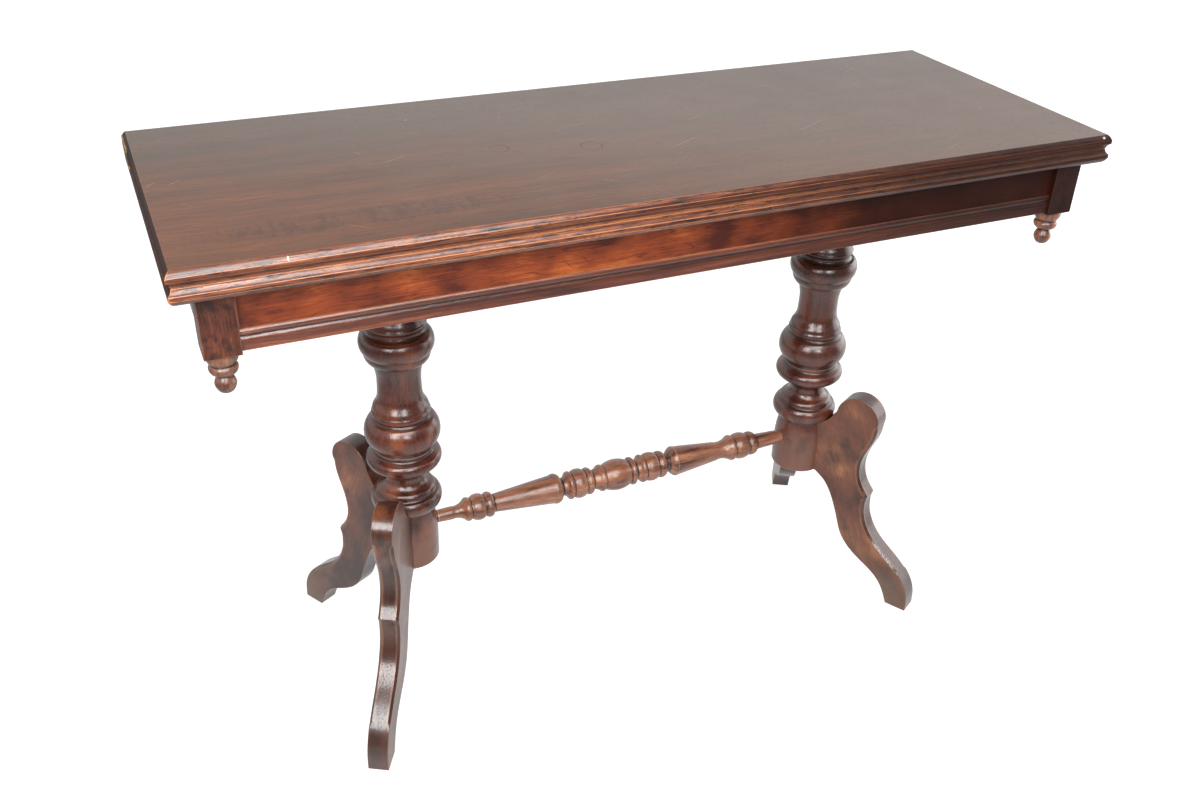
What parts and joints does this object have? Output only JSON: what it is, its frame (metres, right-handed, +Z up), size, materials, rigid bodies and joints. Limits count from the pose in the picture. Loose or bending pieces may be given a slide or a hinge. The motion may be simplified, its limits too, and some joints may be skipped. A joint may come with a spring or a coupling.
{
  "type": "flip-top table",
  "caption": "Flip-top table: stacked, edge-moulded leaves that slide and fold open on a shallow frame with drop finials, on turned columns with scroll legs and a turned stretcher",
  "frame": {"origin": "on the floor, under the middle of the closed table's box", "axes": "+X along the table's length, to the right as seen from the front; +Y from the front to the hinged back; +Z up"},
  "size_m": [1.2, 0.4354, 0.78],
  "materials": {
    "top_wood": "worn polish with a grey sheen, grain along the length",
    "rail_wood": "dark polished hardwood",
    "veneer": "flame-figured veneer under worn polish",
    "moulding_wood": "polished moulding with wax in the quirks",
    "block_wood": "dark polished hardwood",
    "column_wood": "glossy dark polish over turned hardwood",
    "leg_wood": "worn polish, lighter on the arrises",
    "turned_light_wood": "light orange-brown polished turning",
    "inner_wood": "bare secondary wood inside the frame",
    "brass": "dull aged brass",
    "screw_steel": "aged steel wood screws"
  },
  "bodies": {
    "frame": {"keeper_screws": "screw_steel", "bearer_screws": "screw_steel", "front_veneer": "veneer", "well_bottom": "inner_wood", "leg_dowels": "inner_wood", "stretcher": "turned_light_wood", "left_guide_rail": "inner_wood", "left_keeper_inner": "inner_wood", "left_keeper_outer": "inner_wood", "left_column_bearer": "inner_wood", "left_rail": "rail_wood", "left_rail_moulding": "moulding_wood", "left_column": "column_wood", "left_front_corner_block": "block_wood", "left_front_finial": "turned_light_wood", "left_front_leg": "leg_wood", "left_back_corner_block": "block_wood", "left_back_finial": "turned_light_wood", "left_back_leg": "leg_wood", "right_guide_rail": "inner_wood", "right_keeper_inner": "inner_wood", "right_keeper_outer": "inner_wood", "right_column_bearer": "inner_wood", "right_rail": "rail_wood", "right_rail_moulding": "moulding_wood", "right_column": "column_wood", "right_front_corner_block": "block_wood", "right_front_finial": "turned_light_wood", "right_front_leg": "leg_wood", "right_back_corner_block": "block_wood", "right_back_finial": "turned_light_wood", "right_back_leg": "leg_wood", "front_rail": "rail_wood", "front_rail_moulding": "moulding_wood", "back_rail": "rail_wood", "back_rail_moulding": "moulding_wood"},
    "lower_leaf": {"lower_leaf": "top_wood", "left_hinge_plate_lower": "brass", "right_hinge_plate_lower": "brass", "left_hinge_pin": "brass", "right_hinge_pin": "brass", "hinge_screws_lower": "brass", "left_runner": "inner_wood", "right_runner": "inner_wood", "runner_screws": "screw_steel"},
    "upper_leaf": {"upper_leaf": "top_wood", "left_hinge_plate_upper": "brass", "right_hinge_plate_upper": "brass", "hinge_screws_upper": "brass"}
  },
  "joints": [
    {"name": "top_slide", "type": "slide", "parent": "frame", "child": "lower_leaf", "axis": [0, -1, 0], "range_m": [0, 0.21225]},
    {"name": "leaf_fold", "type": "hinge", "parent": "lower_leaf", "child": "upper_leaf", "pos_m": [0, 0.21225, 0.76085], "axis": [-1, 0, 0], "range_deg": [0, 180]}
  ]
}
